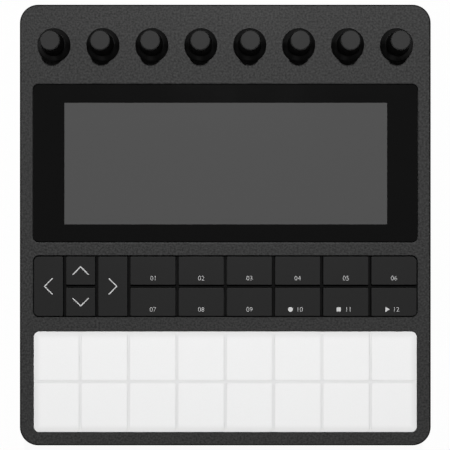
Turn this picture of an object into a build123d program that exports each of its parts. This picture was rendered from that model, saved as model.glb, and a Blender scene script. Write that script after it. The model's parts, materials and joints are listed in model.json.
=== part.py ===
from build123d import *
import math
import os
from typing import NamedTuple

# Groovebox: a desktop music box with a wide screen, eight endless knobs, sixteen keys and sixteen pads.
# Millimetres. +Z is up and +Y points to the rear edge. The origin is on the table, under the middle.

# Top panel, from the front edge to the rear edge
front_margin = 6.74
pad_key_bar = 7.08
key_glass_bar = 6.5
knob_field_depth = 40.0
side_margin = 6.45

# Case shell
case_corner = 9.3
side_wall = 2.5
ledge_thickness = 1.2
ledge_width = 4.0
top_edge_radius = 0.9
bottom_edge_radius = 0.6
window_chamfer = 0.15
glass_bevel_width = 0.5
glass_bevel_drop = 0.12

# Screen
glass_width = 194.0
glass_depth = 79.5
glass_thickness = 1.6
glass_corner = 2.8
glass_gap = 0.3
glass_recess = 0.2
glass_edge_chamfer = 0.2
view_width = 162.9
view_depth = 61.5
display_border = 4.0
display_corner = 1.0
display_thickness = 4.2
display_air = 1.0
ribbon_width = 18.0
ribbon_thickness = 0.3
ribbon_foot = 6.0

# Keys
arrow_columns = 3
function_columns = 6
arrow_key_width = 14.7
function_key_width = 22.8
key_depth = 14.25
key_gap = 1.5
key_edge_gap = 0.6
key_corner = 0.5
key_cluster_corner = 2.4
key_edge_radius = 0.25
key_proud = 0.5
key_travel = 1.0
key_clearance = 0.25
key_lip = 0.6
key_lattice_depth = 1.3

# Pads
pad_columns = 8
pad_rows = 2
pad_pitch = 24.39
pad_gap = 1.0
pad_depth = 24.79
pad_edge_gap = 0.2
outer_pad_trim = 0.52
pad_corner = 1.0
pad_cluster_corner = 2.7
pad_edge_radius = 0.8
pad_proud = 0.4
pad_travel = 0.8
pad_clearance = 0.06
pad_lip = 0.4
pad_lattice_depth = 0.3
pad_plunger_size = 12.0
pad_plunger_corner = 2.0

# Frames that guide the keys and pads under the panel
frame_thickness = 1.6
frame_flange = 2.0
lip_gap = 0.1
lip_thickness = 1.4
press_air = 0.4

# Key switches and pad sensor
switch_size = 6.0
switch_height = 2.5
switch_floor = 0.6
key_post_radius = 1.7
key_post_clearance = 0.2
sensor_thickness = 0.4
sensor_margin = 1.0

# Knobs and encoders
knob_count = 8
knob_pitch = 24.64
knob_rear_inset = 20.5
knob_height = 14.5
knob_gap = 0.8
knob_roof = 2.0
skirt_radius = 8.3
skirt_edge = 0.6
skirt_chamfer = 0.35
skirt_height = 2.9
grip_base_radius = 6.0
grip_top_radius = 5.4
top_disc_radius = 4.7
skirt_shoulder = 0.1
rib_count = 36
rib_share = 0.5
groove_share = 0.94
encoder_width = 12.0
encoder_depth = 12.4
encoder_height = 7.0
encoder_floor = 0.8
bushing_radius = 3.5
bushing_height = 1.6
bushing_clearance = 0.3
knob_cavity_clearance = 0.9
shaft_radius = 3.0
shaft_running_gap = 0.05
shaft_flat = 1.5
shaft_flat_length = 8.0
shaft_fit = 0.03
shaft_end_gap = 0.2

# Board, battery and bottom cover
board_thickness = 1.6
board_gap = 1.5
board_rear_gap = 3.4
board_corner = 4.0
battery_width = 100.0
battery_depth = 64.0
battery_height = 11.5
battery_corner = 3.0
battery_air = 1.9
cover_thickness = 2.5
cover_gap = 0.25
tongue_width = 24.0
tongue_thickness = 1.5
tongue_reach = 1.5
tongue_root = 8.0
tongue_spacing = 110.0
tongue_clearance = 0.15

# Feet
foot_height = 2.5
foot_radius = 6.0
foot_recess = 0.5
foot_recess_clearance = 0.1
foot_edge_radius = 0.5
foot_inset = 18.5

# Screws and the bosses that take them
screw_radius = 1.25
screw_length = 8.0
screw_head_radius = 2.25
screw_head_height = 1.3
screw_slot_width = 0.6
screw_slot_length = 2.6
screw_slot_depth = 0.7
screw_fit = 0.05
screw_hole_clearance = 0.2
head_clearance = 0.25
boss_radius = 2.75
boss_inset = 6.2
rear_boss_inset = 8.5
boss_clearance = 0.3
pilot_end_gap = 0.4
inner_boss_spacing = 64.8
knob_boss_spacing = 180.0

# Rear connectors
jack_count = 6
jack_pitch = 14.0
jack_radius = 1.8
jack_bore_length = 14.0
jack_nose_radius = 3.2
jack_nose_clearance = 0.15
jack_width = 7.0
jack_height = 6.0
jack_depth = 14.0
jack_to_usb = 19.0
usb_width = 8.94
usb_height = 3.2
usb_wall = 0.3
usb_depth = 7.4
usb_back = 0.8
usb_tongue_width = 6.6
usb_tongue_thickness = 0.7
usb_tongue_length = 5.0
oval_share = 0.49
usb_to_card = 20.0
card_housing_width = 14.0
card_housing_height = 1.9
card_housing_depth = 14.5
card_slot_width = 11.4
card_slot_height = 1.1
card_slot_depth = 13.0
slot_round_share = 0.25
card_to_button = 19.0
socket_hole_clearance = 0.15
button_radius = 2.8
button_proud = 0.8
button_travel = 0.7
button_clearance = 0.3
button_lip = 0.8
button_lip_thickness = 1.2
button_stem_radius = 1.5
button_edge_radius = 0.4
power_switch_width = 7.0
power_switch_depth = 5.0
power_switch_floor = 1.0
rear_margin = 11.0
rear_window_height = 12.0
rear_window_corner = 2.0
rear_panel_thickness = 1.2
rear_panel_lap = 3.0
rail_width = 2.0
rail_lip = 1.5
rail_lip_thickness = 1.2
rail_clearance = 0.15

# A little extra length that lets a cut run past the face it opens, or a boss run into its wall
past = 0.5

# Widths of the three windows and of the case
glass_opening_width = glass_width + 2 * glass_gap
glass_opening_depth = glass_depth + 2 * glass_gap
arrow_span = arrow_columns * (arrow_key_width + key_gap)
key_span = arrow_span + function_columns * (function_key_width + key_gap) - key_gap
key_span_depth = 2 * key_depth + key_gap
key_window_width = key_span + 2 * key_edge_gap
key_window_depth = key_span_depth + 2 * key_edge_gap
pad_span = pad_columns * pad_pitch - pad_gap - 2 * outer_pad_trim
pad_span_depth = pad_rows * (pad_depth + pad_gap) - pad_gap
pad_window_width = pad_span + 2 * pad_edge_gap
pad_window_depth = pad_span_depth + 2 * pad_edge_gap
case_width = max(glass_opening_width, key_window_width, pad_window_width) + 2 * side_margin
front_stack = front_margin + pad_window_depth + pad_key_bar + key_window_depth + key_glass_bar
case_depth = front_stack + glass_opening_depth + knob_field_depth

# Places along Y
front_edge = -case_depth / 2
rear_edge = case_depth / 2
pad_y = front_edge + front_margin + pad_window_depth / 2
pad_bar_y = pad_y + pad_window_depth / 2 + pad_key_bar / 2
key_y = pad_bar_y + pad_key_bar / 2 + key_window_depth / 2
glass_bar_y = key_y + key_window_depth / 2 + key_glass_bar / 2
glass_y = glass_bar_y + key_glass_bar / 2 + glass_opening_depth / 2
knob_y = rear_edge - knob_rear_inset
inner_width = case_width - 2 * side_wall
inner_depth = case_depth - 2 * side_wall
inner_corner = case_corner - side_wall

# Heights
cover_bottom = foot_height
cover_top = cover_bottom + cover_thickness
board_bottom = cover_top + max(battery_height + battery_air, jack_height + battery_air)
board_top = board_bottom + board_thickness
button_stack = frame_thickness + lip_gap + lip_thickness + press_air
panel_underside = board_top + max(
    encoder_height,
    display_thickness - ledge_thickness + display_air,
    button_stack + key_travel + switch_height,
    button_stack + pad_travel + sensor_thickness,
)
ledge_top = panel_underside + ledge_thickness
glass_top = ledge_top + glass_thickness
panel_top = glass_top + glass_recess
frame_bottom = panel_underside - frame_thickness
lip_top = frame_bottom - lip_gap
lip_bottom = lip_top - lip_thickness
key_lattice_top = panel_top - key_lattice_depth
pad_lattice_top = panel_top - pad_lattice_depth
key_top = panel_top + key_proud
pad_top = panel_top + pad_proud

# Rear connectors, from left to right as seen from the front
rear_span = (jack_count - 1) * jack_pitch + jack_to_usb + usb_to_card + card_to_button
jack_places = [index * jack_pitch - rear_span / 2 for index in range(jack_count)]
usb_x = jack_places[-1] + jack_to_usb
card_x = usb_x + usb_to_card
button_x = card_x + card_to_button
jack_z = board_bottom - jack_height / 2
usb_z = board_bottom - usb_height / 2
card_z = board_bottom - card_housing_height / 2
rear_window_width = rear_span + 2 * rear_margin
plate_rear = rear_edge - side_wall
plate_front = plate_rear - rear_panel_thickness
plate_width = rear_window_width + 2 * rear_panel_lap
plate_height = rear_window_height + 2 * rear_panel_lap
button_lip_rear = plate_front - lip_gap
button_lip_front = button_lip_rear - button_lip_thickness
power_switch_rear = button_lip_front - button_travel - press_air
power_switch_front = power_switch_rear - power_switch_depth

# Places of the screws, feet and knobs
boss_x = case_width / 2 - boss_inset
rear_boss_y = rear_edge - rear_boss_inset
case_bosses = [(side * boss_x, y) for side in (-1, 1) for y in (rear_boss_y, glass_bar_y, pad_bar_y)]
knob_boss_y = (glass_y + glass_opening_depth / 2 + knob_y - encoder_depth / 2) / 2
board_bosses = [(side * inner_boss_spacing / 2, y) for side in (-1, 1) for y in (glass_bar_y, pad_bar_y)]
board_bosses += [(step * knob_boss_spacing / 2, knob_boss_y) for step in (-1, 0, 1)]
foot_places = [
    (side * (case_width / 2 - foot_inset), end * (case_depth / 2 - foot_inset))
    for side in (-1, 1)
    for end in (-1, 1)
]
knob_places = [(index - (knob_count - 1) / 2) * knob_pitch for index in range(knob_count)]

STANDING = (Align.CENTER, Align.CENTER, Align.MIN)


class Cell(NamedTuple):
    """One key or pad seen from above: its centre and its size."""

    x: float
    y: float
    width: float
    depth: float


class Cluster(NamedTuple):
    """The outline that a group of keys or pads fills, with the radius of its four corners."""

    y: float
    width: float
    depth: float
    corner: float
    cell_corner: float


key_cluster = Cluster(key_y, key_span, key_span_depth, key_cluster_corner, key_corner)
pad_cluster = Cluster(pad_y, pad_span, pad_span_depth, pad_cluster_corner, pad_corner)


def slab(width, depth, corner, low, high, x=0.0, y=0.0):
    """An upright plate with rounded corners between two heights."""
    return extrude(Pos(x, y, low) * RectangleRounded(width, depth, corner), amount=high - low)


def post(radius, low, high, x=0.0, y=0.0):
    """An upright round post between two heights."""
    return Pos(x, y, low) * Cylinder(radius, high - low, align=STANDING)


def rear_plane(x, y, z):
    """A plane that faces the rear, for outlines that are pushed out along +Y."""
    return Plane(origin=(x, y, z), x_dir=(1, 0, 0), z_dir=(0, 1, 0))


def rear_slab(width, height, corner, front, rear, x, z):
    """A plate with rounded corners, standing on edge between two places along Y."""
    return extrude(rear_plane(x, front, z) * RectangleRounded(width, height, corner), amount=rear - front)


def rear_post(radius, front, rear, x, z):
    """A round post that lies along Y."""
    return extrude(rear_plane(x, front, z) * Circle(radius), amount=rear - front)


def block(x_low, x_high, y_low, y_high, z_low, z_high):
    """A plain box given by its six faces."""
    size = (x_high - x_low, y_high - y_low, z_high - z_low)
    return Pos(x_low, y_low, z_low) * Box(*size, align=(Align.MIN, Align.MIN, Align.MIN))


def cell_outline(cluster, cell, grow=0.0):
    """A cell, cut to the cluster's rounded corner where it lies in one, and grown by a margin all round."""
    corner = cluster.cell_corner + grow
    own = Pos(cell.x, cell.y) * RectangleRounded(cell.width + 2 * grow, cell.depth + 2 * grow, corner)
    whole = RectangleRounded(cluster.width + 2 * grow, cluster.depth + 2 * grow, cluster.corner + grow)
    return own & (Pos(0, cluster.y) * whole)


def cell_prism(cluster, cell, low, high, grow=0.0):
    """A cell's outline pulled up between two heights."""
    return extrude(Pos(0, 0, low) * cell_outline(cluster, cell, grow), amount=high - low)


def soften_top(solid, radius):
    """Round the edges of a solid's highest face."""
    return fillet(solid.faces().sort_by(Axis.Z)[-1].edges(), radius)


def key_cells():
    """Name and cell of each key: the arrows at the left, then two rows of function keys."""
    upper_y = key_y + (key_depth + key_gap) / 2
    lower_y = key_y - (key_depth + key_gap) / 2
    left = -key_span / 2
    arrow_pitch = arrow_key_width + key_gap
    arrow_x = [left + arrow_key_width / 2 + step * arrow_pitch for step in range(arrow_columns)]
    cells = {
        "key_left": Cell(arrow_x[0], key_y, arrow_key_width, key_span_depth),
        "key_up": Cell(arrow_x[1], upper_y, arrow_key_width, key_depth),
        "key_down": Cell(arrow_x[1], lower_y, arrow_key_width, key_depth),
        "key_right": Cell(arrow_x[-1], key_y, arrow_key_width, key_span_depth),
    }
    first_x = left + arrow_span + function_key_width / 2
    for row, y in enumerate((upper_y, lower_y)):
        for column in range(function_columns):
            number = row * function_columns + column + 1
            x = first_x + column * (function_key_width + key_gap)
            cells[f"function_key_{number:02d}"] = Cell(x, y, function_key_width, key_depth)
    return cells


def pad_cells():
    """Name and cell of each pad, row by row from the rear. The pads at both ends are a little narrower."""
    cells = {}
    for row in range(pad_rows):
        y = pad_y + ((pad_rows - 1) / 2 - row) * (pad_depth + pad_gap)
        for column in range(pad_columns):
            number = row * pad_columns + column + 1
            left_trim = outer_pad_trim if column == 0 else 0.0
            right_trim = outer_pad_trim if column == pad_columns - 1 else 0.0
            x = (column - (pad_columns - 1) / 2) * pad_pitch + (left_trim - right_trim) / 2
            width = pad_pitch - pad_gap - left_trim - right_trim
            cells[f"pad_{number:02d}"] = Cell(x, y, width, pad_depth)
    return cells


def panel_face(shell):
    """The flat upper face of the case."""
    return shell.faces().filter_by(Axis.Z).sort_by(Axis.Z)[-1]


def window_rims(face):
    """The edges of all the windows in a flat face."""
    return [edge for wire in face.inner_wires() for edge in wire.edges()]


def top_case():
    """The panel and its four walls in one shell, with windows, bosses and rails."""
    outer = slab(case_width, case_depth, case_corner, cover_bottom, panel_top)
    outer = soften_top(outer, top_edge_radius)
    outer = fillet(outer.faces().sort_by(Axis.Z)[0].edges(), bottom_edge_radius)
    shell = outer - slab(inner_width, inner_depth, inner_corner, cover_bottom - past, panel_underside)
    opening_corner = glass_corner + glass_gap
    cut_low = panel_underside - past
    cut_high = panel_top + past
    shell -= slab(glass_opening_width, glass_opening_depth, opening_corner, ledge_top, cut_high, y=glass_y)
    display_opening = (glass_opening_width - 2 * ledge_width, glass_opening_depth - 2 * ledge_width)
    shell -= slab(*display_opening, opening_corner, cut_low, ledge_top + past, y=glass_y)
    key_window_corner = key_cluster_corner + key_edge_gap
    shell -= slab(key_window_width, key_window_depth, key_window_corner, cut_low, cut_high, y=key_y)
    pad_window_corner = pad_cluster_corner + pad_edge_gap
    shell -= slab(pad_window_width, pad_window_depth, pad_window_corner, cut_low, cut_high, y=pad_y)
    button_rims = [edge for edge in window_rims(panel_face(shell)) if edge.center().Y < glass_bar_y]
    shell = chamfer(button_rims, window_chamfer)
    face = panel_face(shell)
    glass_rim = [edge for edge in window_rims(face) if edge.center().Y > glass_bar_y]
    shell = chamfer(glass_rim, glass_bevel_width, glass_bevel_drop, reference=face)
    for x in knob_places:
        shell -= post(bushing_radius + bushing_clearance, cut_low, cut_high, x, knob_y)
    for x, y in case_bosses:
        shell += post(boss_radius, cover_top, panel_underside + past, x, y)
    for x, y in board_bosses:
        shell += post(boss_radius, board_top, panel_underside + past, x, y)
    for side in (-1, 1):
        shell += rear_rail(side)
    pilot_radius = screw_radius + screw_fit
    case_pilot_top = cover_bottom + screw_head_height + screw_length + pilot_end_gap
    board_pilot_top = board_bottom + screw_length + pilot_end_gap
    for x, y in case_bosses:
        shell -= post(pilot_radius, cover_top - past, case_pilot_top, x, y)
    for x, y in board_bosses:
        shell -= post(pilot_radius, board_top - past, board_pilot_top, x, y)
    rear_window = (rear_window_width, rear_window_height, rear_window_corner)
    shell -= rear_slab(*rear_window, plate_rear - past, rear_edge + past, 0, jack_z)
    for side in (-1, 1):
        shell -= tongue(side, tongue_clearance)
    return shell


def rear_rail(side):
    """An upright rail with a lip that holds one end of the rear panel against the rear wall."""
    end = plate_width / 2 + rail_clearance
    low = jack_z - plate_height / 2
    high = panel_underside + past
    lip_rear = plate_front - rail_clearance
    lip_front = lip_rear - rail_lip_thickness
    rail = block(end, end + rail_width, lip_front, plate_rear + past, low, high)
    rail += block(end - rail_lip, end + rail_width, lip_front, lip_rear, low, high)
    return rail if side > 0 else mirror(rail, Plane.YZ)


def tongue(side, clearance=0.0):
    """A flat tongue at the front of the bottom cover that hooks into a slot in the front wall."""
    x = side * tongue_spacing / 2
    half = tongue_width / 2 + clearance
    tip = front_edge + side_wall - tongue_reach - clearance
    low = cover_top - clearance
    high = cover_top + tongue_thickness + clearance
    return block(x - half, x + half, tip, front_edge + side_wall + tongue_root, low, high)


def bottom_cover():
    """The plate that closes the case from below, with its screw holes, foot recesses and tongues."""
    width = inner_width - 2 * cover_gap
    depth = inner_depth - 2 * cover_gap
    cover = slab(width, depth, inner_corner - cover_gap, cover_bottom, cover_top)
    cut_low = cover_bottom - past
    for side in (-1, 1):
        cover += tongue(side)
    for x, y in case_bosses:
        cover -= post(screw_radius + screw_hole_clearance, cut_low, cover_top + past, x, y)
        cover -= post(screw_head_radius + head_clearance, cut_low, cover_bottom + screw_head_height, x, y)
    for x, y in foot_places:
        cover -= post(foot_radius + foot_recess_clearance, cut_low, cover_bottom + foot_recess, x, y)
    return cover


def rubber_feet():
    """Four round feet, each sitting in a shallow recess of the bottom cover."""
    feet = []
    for x, y in foot_places:
        foot = post(foot_radius, 0, cover_bottom + foot_recess, x, y)
        feet.append(fillet(foot.faces().sort_by(Axis.Z)[0].edges(), foot_edge_radius))
    return feet


def screw(head_low, x, y):
    """A pan-head screw that points up, with a cross recess in its head."""
    head_top = head_low + screw_head_height
    body = post(screw_head_radius, head_low, head_top, x, y)
    body += post(screw_radius, head_top - past, head_top + screw_length, x, y)
    half_length = screw_slot_length / 2
    half_width = screw_slot_width / 2
    slot_low = head_low - past
    slot_high = head_low + screw_slot_depth
    body -= block(x - half_length, x + half_length, y - half_width, y + half_width, slot_low, slot_high)
    body -= block(x - half_width, x + half_width, y - half_length, y + half_length, slot_low, slot_high)
    return body


def screws():
    """The screws of the bottom cover and of the board."""
    cover_screws = [screw(cover_bottom, x, y) for x, y in case_bosses]
    board_screws = [screw(board_bottom - screw_head_height, x, y) for x, y in board_bosses]
    return cover_screws + board_screws


def screen_glass():
    """The flush cover glass, resting on the ledge of its opening."""
    glass = slab(glass_width, glass_depth, glass_corner, ledge_top, glass_top, y=glass_y)
    return chamfer(glass.faces().sort_by(Axis.Z)[-1].edges(), glass_edge_chamfer)


def display_panel():
    """The display, bonded to the underside of the glass."""
    width = view_width + 2 * display_border
    depth = view_depth + 2 * display_border
    return slab(width, depth, display_corner, ledge_top - display_thickness, ledge_top, y=glass_y)


def display_ribbon():
    """A flat ribbon that leaves the underside of the display, drops to the board and lies on it."""
    front = glass_y - view_depth / 2
    display_low = ledge_top - display_thickness
    outline = Polyline(
        (front - ribbon_foot, board_top),
        (front + ribbon_thickness, board_top),
        (front + ribbon_thickness, display_low - ribbon_thickness),
        (front + ribbon_foot, display_low - ribbon_thickness),
        (front + ribbon_foot, display_low),
        (front, display_low),
        (front, board_top + ribbon_thickness),
        (front - ribbon_foot, board_top + ribbon_thickness),
        close=True,
    )
    return extrude(Plane.YZ * make_face(outline), amount=ribbon_width / 2, both=True)


def main_board():
    """The circuit board, notched round the case bosses and drilled for its screws."""
    low_y = -inner_depth / 2 + board_gap
    high_y = inner_depth / 2 - board_rear_gap
    depth = high_y - low_y
    width = inner_width - 2 * board_gap
    board = slab(width, depth, board_corner, board_bottom, board_top, y=(low_y + high_y) / 2)
    for x, y in case_bosses:
        board -= post(boss_radius + boss_clearance, board_bottom - past, board_top + past, x, y)
    for x, y in board_bosses:
        board -= post(screw_radius + screw_hole_clearance, board_bottom - past, board_top + past, x, y)
    return board


def battery():
    """The battery pack, lying on the bottom cover."""
    battery_top = cover_top + battery_height
    return slab(battery_width, battery_depth, battery_corner, cover_top, battery_top, y=pad_bar_y)


def encoder_bodies():
    """Eight encoder housings on the board, each with a bushing that comes up through the panel."""
    bodies = []
    half = encoder_width / 2
    front = knob_y - encoder_depth / 2
    rear = knob_y + encoder_depth / 2
    bore_low = board_top + encoder_floor
    bushing_top = panel_top + bushing_height
    for x in knob_places:
        body = block(x - half, x + half, front, rear, board_top, panel_underside)
        body += post(bushing_radius, panel_underside - past, bushing_top, x, knob_y)
        body -= post(shaft_radius + shaft_running_gap, bore_low, bushing_top + past, x, knob_y)
        bodies.append(body)
    return bodies


def ribbed_outline(radius, height):
    """A toothed circle: flat-topped ribs with a groove between each pair."""
    step = 360 / rib_count
    groove_middle = (1 + rib_share) / 2
    rib = ((radius, 0), (radius, rib_share), (radius * groove_share, groove_middle))
    points = []
    for index in range(rib_count):
        for distance, turn in rib:
            angle = math.radians((index + turn) * step)
            points.append((distance * math.cos(angle), distance * math.sin(angle)))
    return Pos(0, 0, height) * make_face(Polyline(*points, close=True))


def knob_cap():
    """A knob on the Z axis: a smooth skirt, a tapered ribbed grip and a flat top."""
    base = panel_top + knob_gap
    skirt_top = base + skirt_height
    top = panel_top + knob_height
    grip_top = top - (grip_top_radius - top_disc_radius)
    outline = Polyline(
        (0, base),
        (skirt_radius, base),
        (skirt_radius, base + skirt_edge),
        (skirt_radius - skirt_chamfer, base + skirt_edge + skirt_chamfer),
        (grip_base_radius + skirt_shoulder, skirt_top),
        (0, skirt_top),
        close=True,
    )
    cap = revolve(Plane.XZ * make_face(outline), axis=Axis.Z)
    ring_heights = ((grip_base_radius, skirt_top), (grip_top_radius, grip_top), (top_disc_radius, top))
    rings = [ribbed_outline(radius, height) for radius, height in ring_heights]
    cap += loft(rings, ruled=True)
    cavity_top = panel_top + bushing_height + knob_cavity_clearance
    cap -= post(bushing_radius + knob_cavity_clearance, base - past, cavity_top)
    bore_low = cavity_top - past
    return cap - d_shaft(shaft_radius + shaft_fit, bore_low, top - knob_roof, bore_low, shaft_fit)


def d_shaft(radius, low, high, flat_low, flat_fit=0.0):
    """A round shaft on the Z axis with a flat along its upper part."""
    shaft = post(radius, low, high)
    flat_x = shaft_flat + flat_fit
    return shaft - block(flat_x, flat_x + radius, -radius, radius, flat_low, high)


def knobs():
    """Eight knobs, each a cap on its encoder shaft."""
    cap = knob_cap()
    shaft_low = board_top + encoder_floor + lip_gap
    shaft_high = panel_top + knob_height - knob_roof - shaft_end_gap
    shaft = d_shaft(shaft_radius, shaft_low, shaft_high, shaft_high - shaft_flat_length)
    named = {}
    for index, x in enumerate(knob_places):
        place = Pos(x, knob_y)
        named[f"knob_{index + 1}"] = [place * cap, place * shaft]
    return named


def button_frame(cluster, cells, window_width, window_depth, lattice_top, clearance):
    """A plate under the panel with a hole for each cell and low bars that rise in the gaps between them."""
    width = window_width + 2 * frame_flange
    depth = window_depth + 2 * frame_flange
    corner = cluster.corner + frame_flange
    frame = slab(width, depth, corner, frame_bottom, panel_underside, y=cluster.y)
    lattice_low = panel_underside - past
    frame += slab(cluster.width, cluster.depth, cluster.corner, lattice_low, lattice_top, y=cluster.y)
    cut_low = frame_bottom - past
    frame -= [cell_prism(cluster, cell, cut_low, lattice_top + past, clearance) for cell in cells]
    for x, y in case_bosses + board_bosses:
        frame -= post(boss_radius + boss_clearance, cut_low, panel_underside, x, y)
    return frame


def key(cell):
    """A flat key with a lip that stops it under the frame and a post that reaches into its switch."""
    cap = soften_top(cell_prism(key_cluster, cell, lip_top, key_top), key_edge_radius)
    cap += cell_prism(key_cluster, cell, lip_bottom, lip_top, key_lip)
    post_low = board_top + switch_floor + key_travel + press_air
    return cap + post(key_post_radius, post_low, lip_bottom + past, cell.x, cell.y)


def key_switches(cells):
    """A square switch on the board under each key, with a well for the key's post."""
    switches = []
    half = switch_size / 2
    top = board_top + switch_height
    well_radius = key_post_radius + key_post_clearance
    well_low = board_top + switch_floor
    for cell in cells:
        body = block(cell.x - half, cell.x + half, cell.y - half, cell.y + half, board_top, top)
        switches.append(body - post(well_radius, well_low, top + past, cell.x, cell.y))
    return switches


def pad(cell):
    """A soft-edged pad with a lip that stops it under the frame and a plunger over the sensor."""
    cap = soften_top(cell_prism(pad_cluster, cell, lip_top, pad_top), pad_edge_radius)
    cap += cell_prism(pad_cluster, cell, lip_bottom, lip_top, pad_lip)
    plunger_low = board_top + sensor_thickness + pad_travel + press_air
    plunger = (pad_plunger_size, pad_plunger_size, pad_plunger_corner)
    return cap + slab(*plunger, plunger_low, lip_bottom + past, cell.x, cell.y)


def pad_sensor():
    """The force sensor sheet on the board under all the pads."""
    width = pad_span - 2 * sensor_margin
    depth = pad_span_depth - 2 * sensor_margin
    return slab(width, depth, pad_corner, board_top, board_top + sensor_thickness, y=pad_y)


def rear_panel():
    """The metal plate behind the window in the rear wall, with a hole for each connector and the button."""
    plate = rear_slab(plate_width, plate_height, rear_window_corner, plate_front, plate_rear, 0, jack_z)
    hole_front = plate_front - past
    hole_rear = plate_rear + past
    for x in jack_places:
        plate -= rear_post(jack_nose_radius + jack_nose_clearance, hole_front, hole_rear, x, jack_z)
    width = usb_width - 2 * usb_wall + 2 * socket_hole_clearance
    height = usb_height - 2 * usb_wall + 2 * socket_hole_clearance
    plate -= rear_slab(width, height, height * oval_share, hole_front, hole_rear, usb_x, usb_z)
    width = card_slot_width + 2 * socket_hole_clearance
    height = card_slot_height + 2 * socket_hole_clearance
    plate -= rear_slab(width, height, height * slot_round_share, hole_front, hole_rear, card_x, card_z)
    return plate - rear_post(button_radius + button_clearance, hole_front, hole_rear, button_x, jack_z)


def rear_jacks():
    """Six small jacks under the board, each with a round nose that fills its hole in the rear panel."""
    jacks = []
    half = jack_width / 2
    back = plate_front - jack_depth
    low = board_bottom - jack_height
    for x in jack_places:
        jack = block(x - half, x + half, back, plate_front, low, board_bottom)
        jack += rear_post(jack_nose_radius, plate_front - past, plate_rear, x, jack_z)
        jack -= rear_post(jack_radius, plate_rear - jack_bore_length, plate_rear + past, x, jack_z)
        jacks.append(jack)
    return jacks


def usb_socket():
    """A small oval power and data socket with a flat tongue inside."""
    width = usb_width - 2 * usb_wall
    height = usb_height - 2 * usb_wall
    back = plate_front - usb_depth
    shell = rear_slab(usb_width, usb_height, usb_height * oval_share, back, plate_front, usb_x, usb_z)
    inside_front = back + usb_back
    shell -= rear_slab(width, height, height * oval_share, inside_front, plate_front + past, usb_x, usb_z)
    half_width = usb_tongue_width / 2
    half_thickness = usb_tongue_thickness / 2
    return shell + block(
        usb_x - half_width,
        usb_x + half_width,
        back,
        inside_front + usb_tongue_length,
        usb_z - half_thickness,
        usb_z + half_thickness,
    )


def card_slot():
    """A flat memory card slot under the board."""
    half = card_housing_width / 2
    back = plate_front - card_housing_depth
    low = board_bottom - card_housing_height
    housing = block(card_x - half, card_x + half, back, plate_front, low, board_bottom)
    half_slot = card_slot_width / 2
    slot_front = plate_front - card_slot_depth
    half_height = card_slot_height / 2
    mouth = plate_front + past
    slot_low = card_z - half_height
    slot_high = card_z + half_height
    return housing - block(card_x - half_slot, card_x + half_slot, slot_front, mouth, slot_low, slot_high)


def power_button():
    """A round button in the rear panel with a lip behind it and a stem that reaches into its switch."""
    cap = rear_post(button_radius, button_lip_rear - past, plate_rear + button_proud, button_x, jack_z)
    cap = fillet(cap.faces().sort_by(Axis.Y)[-1].edges(), button_edge_radius)
    cap += rear_post(button_radius + button_lip, button_lip_front, button_lip_rear, button_x, jack_z)
    stem_front = power_switch_front + power_switch_floor + button_travel + press_air
    return cap + rear_post(button_stem_radius, stem_front, button_lip_front + past, button_x, jack_z)


def power_switch():
    """The switch behind the power button, with a well for its stem."""
    half = power_switch_width / 2
    low = board_bottom - jack_height
    body = block(button_x - half, button_x + half, power_switch_front, power_switch_rear, low, board_bottom)
    well_front = power_switch_front + power_switch_floor
    well_radius = button_stem_radius + key_post_clearance
    return body - rear_post(well_radius, well_front, power_switch_rear + past, button_x, jack_z)


def all_nodes():
    """Every sub-part by name. A node of several loose solids is a list."""
    keys = key_cells()
    pads = pad_cells()
    key_list = list(keys.values())
    pad_list = list(pads.values())
    nodes = {
        "top_case": top_case(),
        "bottom_cover": bottom_cover(),
        "rubber_feet": rubber_feet(),
        "screws": screws(),
        "screen_glass": screen_glass(),
        "display_panel": display_panel(),
        "display_ribbon": display_ribbon(),
        "main_board": main_board(),
        "battery": battery(),
        "encoder_bodies": encoder_bodies(),
        "key_frame": button_frame(
            key_cluster, key_list, key_window_width, key_window_depth, key_lattice_top, key_clearance
        ),
        "key_switches": key_switches(key_list),
        "pad_frame": button_frame(
            pad_cluster, pad_list, pad_window_width, pad_window_depth, pad_lattice_top, pad_clearance
        ),
        "pad_sensor": pad_sensor(),
        "rear_panel": rear_panel(),
        "rear_jacks": rear_jacks(),
        "usb_socket": usb_socket(),
        "card_slot": card_slot(),
        "power_switch": power_switch(),
        "power_button": power_button(),
    }
    nodes.update(knobs())
    nodes.update({name: key(cell) for name, cell in keys.items()})
    nodes.update({name: pad(cell) for name, cell in pads.items()})
    return nodes


os.makedirs("parts", exist_ok=True)
for name, shape in all_nodes().items():
    solids = shape if isinstance(shape, list) else [shape]
    export_step(Compound(children=solids) if len(solids) > 1 else solids[0], f"parts/{name}.step")
print(f"case {case_width:.1f} x {case_depth:.1f} mm, panel at {panel_top:.1f} mm")
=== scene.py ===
# %% [markdown]
# # Dressing a groovebox
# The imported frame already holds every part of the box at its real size, in metres, with +Z up and +Y towards
# the rear edge. Nothing in it is moved here. The work left for Blender is the finish of each surface, the few
# shapes that look better as modelled meshes (knobs, pads, printed signs), and a studio to look at it in.

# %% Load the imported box
import json
import math

import bmesh
import bpy
from mathutils import Matrix, Vector


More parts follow.
